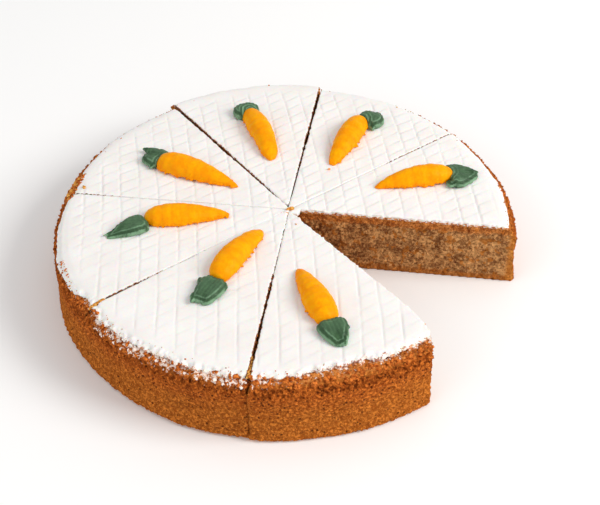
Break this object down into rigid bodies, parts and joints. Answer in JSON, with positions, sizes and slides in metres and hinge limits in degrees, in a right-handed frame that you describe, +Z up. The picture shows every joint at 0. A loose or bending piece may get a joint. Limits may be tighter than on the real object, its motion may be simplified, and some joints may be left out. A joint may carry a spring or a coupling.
{
  "type": "carrot cake",
  "caption": "Round carrot cake cut into wedges, part served: spiced sponge, scored white frosting, a piped orange carrot with a green leaf on each slice.",
  "frame": {"origin": "on the resting plane, under the middle of the box round the seven slices", "axes": "+Z up; the gap of the served slice opens towards +X and -Y"},
  "size_m": [0.2656, 0.2709, 0.0508],
  "materials": {
    "sponge": "baked golden-brown crust, porous brown crumb at the cuts",
    "frosting": "soft white frosting with a scored lattice",
    "carrot_icing": "smooth orange piped icing",
    "leaf_icing": "folded dark green piped icing"
  },
  "bodies": {
    "root": {"sponge_1": "sponge", "sponge_2": "sponge", "sponge_3": "sponge", "sponge_4": "sponge", "sponge_5": "sponge", "sponge_6": "sponge", "sponge_7": "sponge", "frosting_1": "frosting", "frosting_2": "frosting", "frosting_3": "frosting", "frosting_4": "frosting", "frosting_5": "frosting", "frosting_6": "frosting", "frosting_7": "frosting", "carrot_1": "carrot_icing", "carrot_2": "carrot_icing", "carrot_3": "carrot_icing", "carrot_4": "carrot_icing", "carrot_5": "carrot_icing", "carrot_6": "carrot_icing", "carrot_7": "carrot_icing", "leaf_1": "leaf_icing", "leaf_2": "leaf_icing", "leaf_3": "leaf_icing", "leaf_4": "leaf_icing", "leaf_5": "leaf_icing", "leaf_6": "leaf_icing", "leaf_7": "leaf_icing"}
  },
  "joints": []
}
